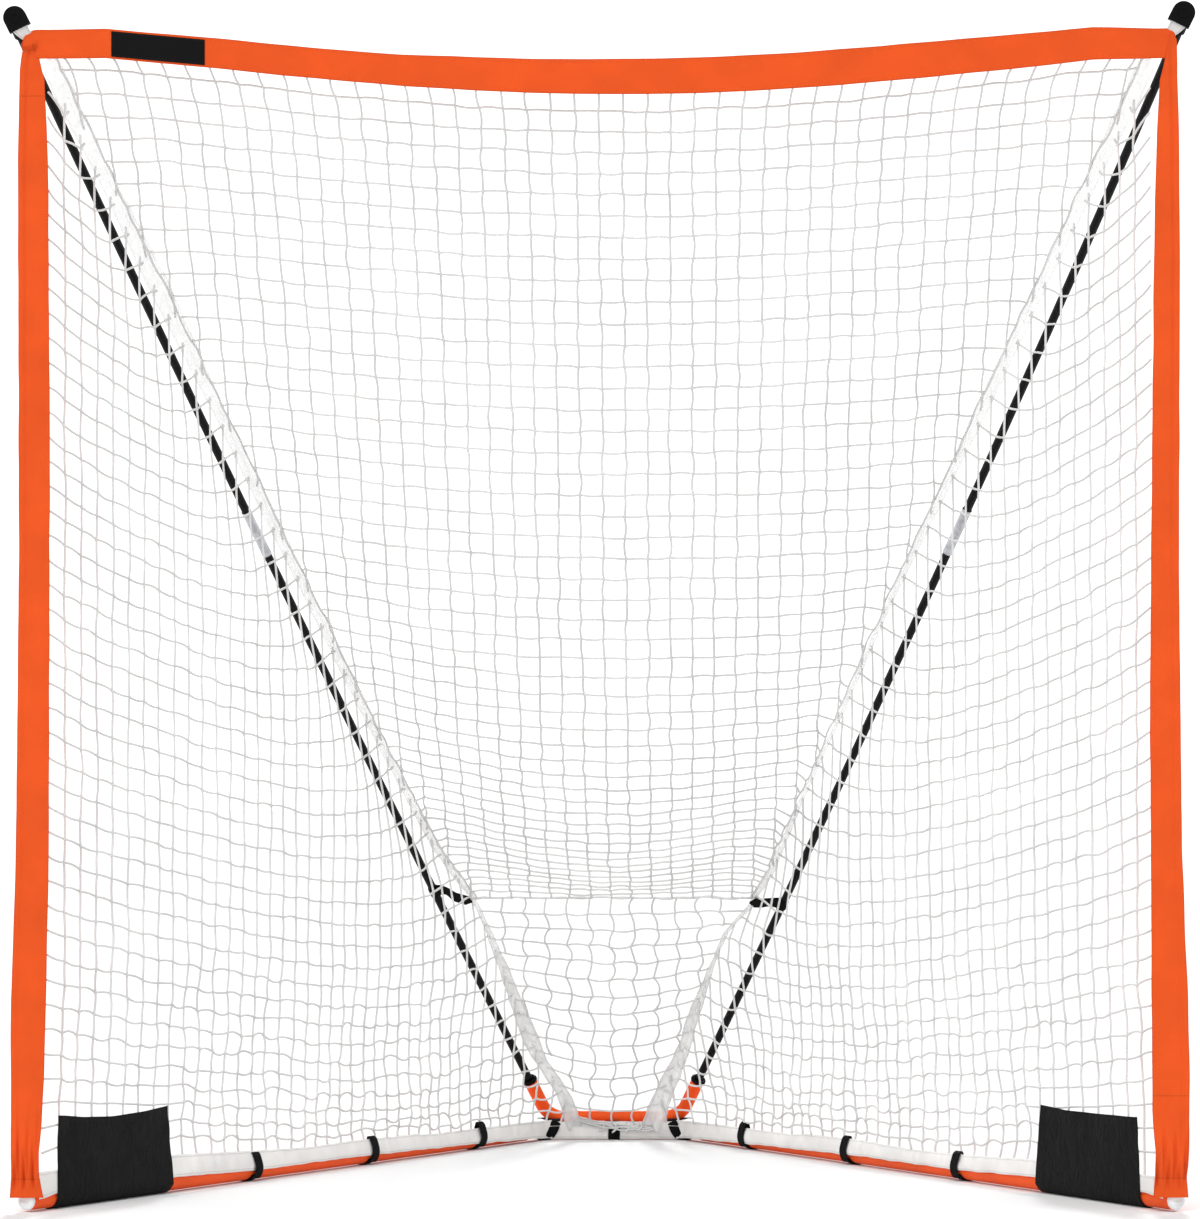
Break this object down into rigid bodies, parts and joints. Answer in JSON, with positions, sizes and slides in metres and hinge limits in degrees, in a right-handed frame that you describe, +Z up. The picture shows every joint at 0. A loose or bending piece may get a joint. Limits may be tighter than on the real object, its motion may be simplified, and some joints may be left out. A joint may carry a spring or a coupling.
{
  "type": "lacrosse goal",
  "caption": "Portable lacrosse goal: orange V-shaped ground tubes, bowed black poles behind, a white mesh net hung from an orange fabric band and edge strips, black straps and corner panels",
  "frame": {"origin": "centre of the goal's outline in plan, at ground level", "axes": "X across the mouth, Y from the mouth to the back, Z up; the mouth faces -Y"},
  "size_m": [1.9314, 1.637, 1.9527],
  "materials": {
    "tube_paint": "gloss orange powder coat",
    "orange_fabric": "woven orange fabric",
    "black_fabric": "black woven fabric",
    "black_plastic": "moulded black plastic",
    "fibreglass": "smooth black resin-bonded fibreglass",
    "bare_steel": "plated steel",
    "net_cord": "light braided cord",
    "white_fabric": "white woven fabric",
    "grey_webbing": "light grey webbing",
    "pale_plastic": "pale translucent plastic"
  },
  "bodies": {
    "goal": {"label_patch": "black_fabric", "left_button_spring": "bare_steel", "left_corner_panel": "black_fabric", "left_corner_strap": "black_fabric", "left_edge_strip": "orange_fabric", "left_ferrule": "bare_steel", "left_lower_pole": "fibreglass", "left_pull_strap": "black_fabric", "left_rail": "tube_paint", "left_rail_end_plug": "pale_plastic", "left_rail_skirt": "white_fabric", "left_rail_strap_1": "black_fabric", "left_rail_strap_2": "black_fabric", "left_rail_strap_3": "black_fabric", "left_seam_tape": "white_fabric", "left_side_net": "net_cord", "left_socket_collar": "black_plastic", "left_upper_pole": "fibreglass", "rear_base_frame": "tube_paint", "rear_net": "net_cord", "rear_skirt": "white_fabric", "rear_strap": "black_fabric", "right_button_spring": "bare_steel", "right_corner_panel": "black_fabric", "right_corner_strap": "black_fabric", "right_edge_strip": "orange_fabric", "right_ferrule": "bare_steel", "right_lower_pole": "fibreglass", "right_pull_strap": "black_fabric", "right_rail": "tube_paint", "right_rail_end_plug": "pale_plastic", "right_rail_skirt": "white_fabric", "right_rail_strap_1": "black_fabric", "right_rail_strap_2": "black_fabric", "right_rail_strap_3": "black_fabric", "right_seam_tape": "white_fabric", "right_side_net": "net_cord", "right_socket_collar": "black_plastic", "right_upper_pole": "fibreglass", "roof_net": "net_cord", "top_band": "orange_fabric"},
    "left_button": {"left_rail_button": "bare_steel"},
    "left_cap": {"left_tip_cap": "black_plastic", "left_tip_webbing": "grey_webbing"},
    "right_button": {"right_rail_button": "bare_steel"},
    "right_cap": {"right_tip_cap": "black_plastic", "right_tip_webbing": "grey_webbing"}
  },
  "joints": [
    {"name": "left_rail_button", "type": "slide", "parent": "goal", "child": "left_button", "axis": [0.8953, -0.4454, 0], "range_m": [0, 0.006], "stiffness_N_per_m": 500, "springref_m": -0.002, "deforming": ["left_button_spring"]},
    {"name": "left_tip_cap", "type": "slide", "parent": "goal", "child": "left_cap", "axis": [-0.2493, -0.721, 0.6465], "range_m": [0, 0.035]},
    {"name": "right_rail_button", "type": "slide", "parent": "goal", "child": "right_button", "axis": [-0.8953, -0.4454, 0], "range_m": [0, 0.006], "stiffness_N_per_m": 500, "springref_m": -0.002, "deforming": ["right_button_spring"]},
    {"name": "right_tip_cap", "type": "slide", "parent": "goal", "child": "right_cap", "axis": [0.2493, -0.721, 0.6465], "range_m": [0, 0.035]}
  ]
}
